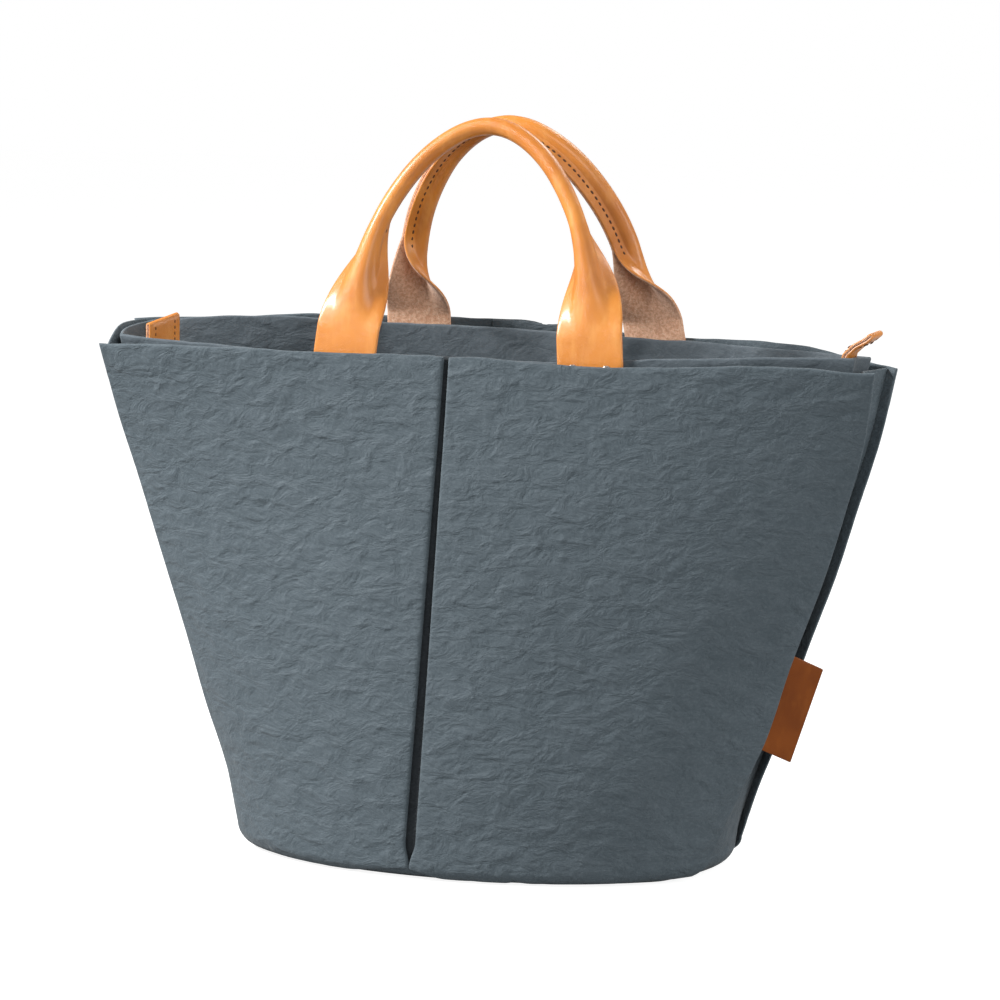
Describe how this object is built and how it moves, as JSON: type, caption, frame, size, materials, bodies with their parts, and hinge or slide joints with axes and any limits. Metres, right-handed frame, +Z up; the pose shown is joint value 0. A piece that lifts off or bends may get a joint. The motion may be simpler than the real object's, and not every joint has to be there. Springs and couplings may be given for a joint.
{
  "type": "tote bag",
  "caption": "Soft tote with a narrow base and wide mouth, pleated panels, folded end gussets, an inner bag and folded leather handles.",
  "frame": {"origin": "on the ground, under the middle of the bag's mouth, on the base panel's resting face", "axes": "+X along the mouth's length towards the end with the side tag, +Y from the front panel to the back panel, +Z up"},
  "size_m": [0.4596, 0.1711, 0.4229],
  "materials": {
    "outer_cloth": "matt crinkled cloth",
    "inner_cloth": "matt crinkled cloth",
    "handle_leather": "smooth, lightly waxed",
    "tag_leather": "smooth, matt",
    "rivet_metal": "satin"
  },
  "bodies": {
    "root": {"front_panel": "outer_cloth", "back_panel": "outer_cloth", "left_gusset": "outer_cloth", "right_gusset": "outer_cloth", "base_panel": "outer_cloth", "inner_bag": "inner_cloth", "front_handle": "handle_leather", "back_handle": "handle_leather", "left_tab": "handle_leather", "right_tab": "handle_leather", "side_tag": "tag_leather", "front_left_outer_rivet": "rivet_metal", "front_left_inner_rivet": "rivet_metal", "front_right_outer_rivet": "rivet_metal", "front_right_inner_rivet": "rivet_metal", "back_left_outer_rivet": "rivet_metal", "back_left_inner_rivet": "rivet_metal", "back_right_outer_rivet": "rivet_metal", "back_right_inner_rivet": "rivet_metal"}
  },
  "joints": []
}
